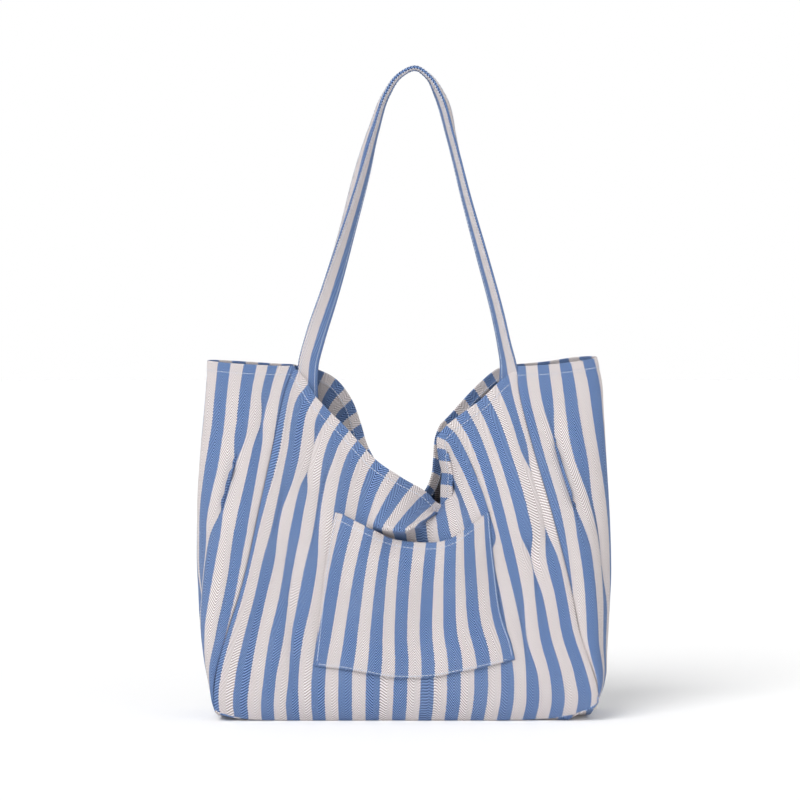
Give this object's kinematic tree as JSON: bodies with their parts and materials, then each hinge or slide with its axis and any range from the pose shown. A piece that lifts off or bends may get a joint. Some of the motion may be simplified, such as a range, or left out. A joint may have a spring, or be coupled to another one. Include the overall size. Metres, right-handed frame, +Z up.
{
  "type": "shoulder tote bag",
  "caption": "Soft upright tote of striped canvas with folded side gussets, a sagging pinched mouth, a patch pocket and tall shoulder straps that swing down.",
  "frame": {"origin": "centre of the bag's outline on the surface it stands on", "axes": "+Z up to the straps, +X to the right seen from the front, -Y the front with the patch pocket"},
  "size_m": [0.414, 0.117, 0.6516],
  "materials": {
    "striped_canvas": "herringbone weave in blue and cream stripes, matt",
    "binding_tape": "plain woven cotton tape, matt",
    "thread": "spun polyester thread",
    "snap_metal": "nickel plated, satin",
    "washer_metal": "zinc plated, satin"
  },
  "bodies": {
    "bag": {"bottom_panel": "striped_canvas", "front_panel": "striped_canvas", "back_panel": "striped_canvas", "front_hem": "striped_canvas", "back_hem": "striped_canvas", "right_gusset": "striped_canvas", "left_gusset": "striped_canvas", "right_gusset_hem": "striped_canvas", "left_gusset_hem": "striped_canvas", "front_pocket": "striped_canvas", "pocket_hem": "striped_canvas", "front_strap_left_end": "striped_canvas", "front_strap_right_end": "striped_canvas", "back_strap_left_end": "striped_canvas", "back_strap_right_end": "striped_canvas", "front_snap_patch": "striped_canvas", "back_snap_patch": "striped_canvas", "floor_binding": "binding_tape", "left_front_binding": "binding_tape", "right_front_binding": "binding_tape", "left_back_binding": "binding_tape", "right_back_binding": "binding_tape", "snap_stud": "snap_metal", "snap_socket": "snap_metal", "front_snap_washer": "washer_metal", "back_snap_washer": "washer_metal"},
    "front_loop": {"front_strap": "striped_canvas"},
    "back_loop": {"back_strap": "striped_canvas"}
  },
  "joints": [
    {"name": "front_strap_swing", "type": "hinge", "parent": "bag", "child": "front_loop", "pos_m": [0, -0.014, 0.352], "axis": [1, 0, 0], "range_deg": [0, 160]},
    {"name": "back_strap_swing", "type": "hinge", "parent": "bag", "child": "back_loop", "pos_m": [0, 0.014, 0.352], "axis": [1, 0, 0], "range_deg": [-160, 0]}
  ]
}
